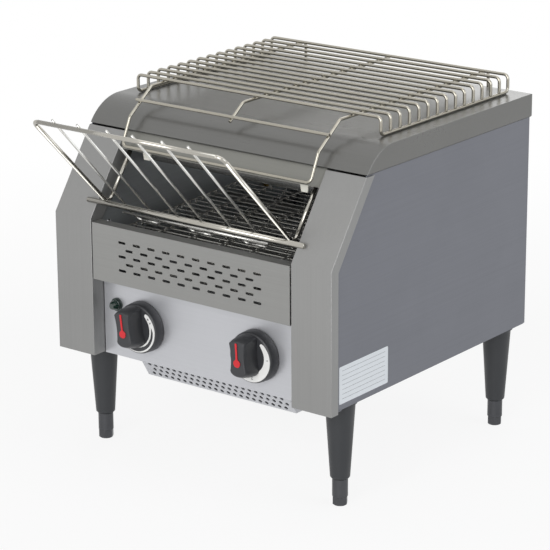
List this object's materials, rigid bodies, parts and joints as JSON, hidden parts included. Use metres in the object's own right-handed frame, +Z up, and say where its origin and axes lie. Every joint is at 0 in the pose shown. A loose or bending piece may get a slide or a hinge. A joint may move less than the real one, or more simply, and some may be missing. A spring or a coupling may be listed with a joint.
{
  "type": "conveyor toaster",
  "caption": "Countertop conveyor toaster with a wire belt between upper and lower heaters, a sloped wire loading rack, a warming rack on its lid and two control knobs.",
  "frame": {"origin": "centre of the footprint of the whole object, on the counter", "axes": "+X to the user's right, +Y from the loading side to the rear, +Z up"},
  "size_m": [0.368, 0.4752, 0.4002],
  "materials": {
    "housing_steel": "brushed stainless sheet",
    "panel_steel": "light brushed stainless sheet",
    "chamber_steel": "heat-dulled steel sheet",
    "bright_metal": "bright plated",
    "wire_metal": "nickel-plated wire",
    "machined_steel": "machined steel",
    "bronze": "sintered bronze",
    "black_plastic": "black moulded plastic",
    "knob_plastic": "dark grey satin plastic",
    "red_plastic": "red moulded plastic",
    "green_lens": "dark green translucent lens",
    "ceramic": "white glazed ceramic",
    "clip_white": "white heat-proof clip",
    "leg_plastic": "charcoal moulded plastic",
    "foot_metal": "dark plated steel",
    "board_green": "green circuit board",
    "quartz": "quartz tube",
    "motor_paint": "grey painted casting"
  },
  "bodies": {
    "housing": {"base_pan": "housing_steel", "left_side_panel": "housing_steel", "right_side_panel": "housing_steel", "left_pillar": "housing_steel", "right_pillar": "housing_steel", "lid": "housing_steel", "rear_panel": "housing_steel", "hood_baffle": "housing_steel", "hood_clips": "clip_white", "heat_shield": "housing_steel", "control_panel": "panel_steel", "intake_grille": "housing_steel", "housing_screws": "bright_metal", "left_liner": "chamber_steel", "right_liner": "chamber_steel", "chamber_floor": "chamber_steel", "upper_reflector": "chamber_steel", "upper_heaters": "quartz", "lower_heaters": "quartz", "heater_end_caps": "ceramic", "toast_chute": "panel_steel", "conveyor_belt": "wire_metal", "drive_bushes": "bronze", "idler_bushes": "bronze", "drive_chain": "machined_steel", "gear_motor": "motor_paint", "fan_frame": "black_plastic", "speed_control_board": "board_green", "speed_regulator": "black_plastic", "selector_switch": "black_plastic", "terminal_block": "ceramic", "lamp_bezel": "bright_metal", "lamp_lens": "green_lens", "cable_gland": "black_plastic", "front_left_leg": "leg_plastic", "front_right_leg": "leg_plastic", "rear_left_leg": "leg_plastic", "rear_right_leg": "leg_plastic"},
    "speed_knob_body": {"speed_knob": "knob_plastic", "speed_pointer": "red_plastic"},
    "selector_knob_body": {"selector_knob": "knob_plastic", "selector_pointer": "red_plastic"},
    "drive_shaft_body": {"drive_shaft": "bright_metal", "drive_sprockets": "machined_steel", "chain_wheel": "machined_steel"},
    "idler_shaft_body": {"idler_shaft": "bright_metal", "idler_sprockets": "machined_steel"},
    "motor_sprocket_body": {"motor_sprocket": "machined_steel"},
    "fan_rotor_body": {"fan_rotor": "black_plastic"},
    "loading_rack_body": {"loading_rack_frame": "wire_metal", "loading_rack_wires": "wire_metal"},
    "warming_rack_body": {"warming_rack_frame": "wire_metal", "warming_rack_wires": "wire_metal"},
    "crumb_tray_body": {"crumb_tray": "chamber_steel"},
    "front_left_foot_body": {"front_left_foot": "foot_metal"},
    "front_right_foot_body": {"front_right_foot": "foot_metal"},
    "rear_left_foot_body": {"rear_left_foot": "foot_metal"},
    "rear_right_foot_body": {"rear_right_foot": "foot_metal"}
  },
  "joints": [
    {"name": "speed_turn", "type": "hinge", "parent": "housing", "child": "speed_knob_body", "pos_m": [0.077, -0.15742, 0.154], "axis": [0, 1, 0], "range_deg": [0, 270]},
    {"name": "selector_turn", "type": "hinge", "parent": "housing", "child": "selector_knob_body", "pos_m": [-0.077, -0.15742, 0.154], "axis": [0, 1, 0], "range_deg": [0, 180]},
    {"name": "drive_spin", "type": "hinge", "parent": "housing", "child": "drive_shaft_body", "pos_m": [0, 0.17035, 0.23994], "axis": [1, 0, 0], "continuous": true},
    {"name": "idler_spin", "type": "hinge", "parent": "housing", "child": "idler_shaft_body", "pos_m": [0, -0.11442, 0.2285], "axis": [1, 0, 0], "continuous": true},
    {"name": "motor_spin", "type": "hinge", "parent": "housing", "child": "motor_sprocket_body", "pos_m": [0.1495, 0.14435, 0.15494], "axis": [1, 0, 0], "continuous": true},
    {"name": "fan_spin", "type": "hinge", "parent": "housing", "child": "fan_rotor_body", "pos_m": [0.014, -0.04042, 0.13], "axis": [0, 0, 1], "continuous": true},
    {"name": "loading_rack_lift", "type": "slide", "parent": "housing", "child": "loading_rack_body", "axis": [0, 0.5693, 0.8221], "range_m": [0, 0.02]},
    {"name": "warming_rack_lift", "type": "slide", "parent": "housing", "child": "warming_rack_body", "axis": [0, 0, 1], "range_m": [0, 0.04]},
    {"name": "crumb_tray_pull", "type": "slide", "parent": "housing", "child": "crumb_tray_body", "axis": [0, 1, 0], "range_m": [0, 0.28]},
    {"name": "front_left_foot_level", "type": "slide", "parent": "housing", "child": "front_left_foot_body", "axis": [0, 0, -1], "range_m": [0, 0.015]},
    {"name": "front_right_foot_level", "type": "slide", "parent": "housing", "child": "front_right_foot_body", "axis": [0, 0, -1], "range_m": [0, 0.015]},
    {"name": "rear_left_foot_level", "type": "slide", "parent": "housing", "child": "rear_left_foot_body", "axis": [0, 0, -1], "range_m": [0, 0.015]},
    {"name": "rear_right_foot_level", "type": "slide", "parent": "housing", "child": "rear_right_foot_body", "axis": [0, 0, -1], "range_m": [0, 0.015]}
  ],
  "couplings": [
    {"joint": "idler_spin", "follows": "drive_spin", "ratio": 1},
    {"joint": "motor_spin", "follows": "drive_spin", "ratio": 2}
  ]
}
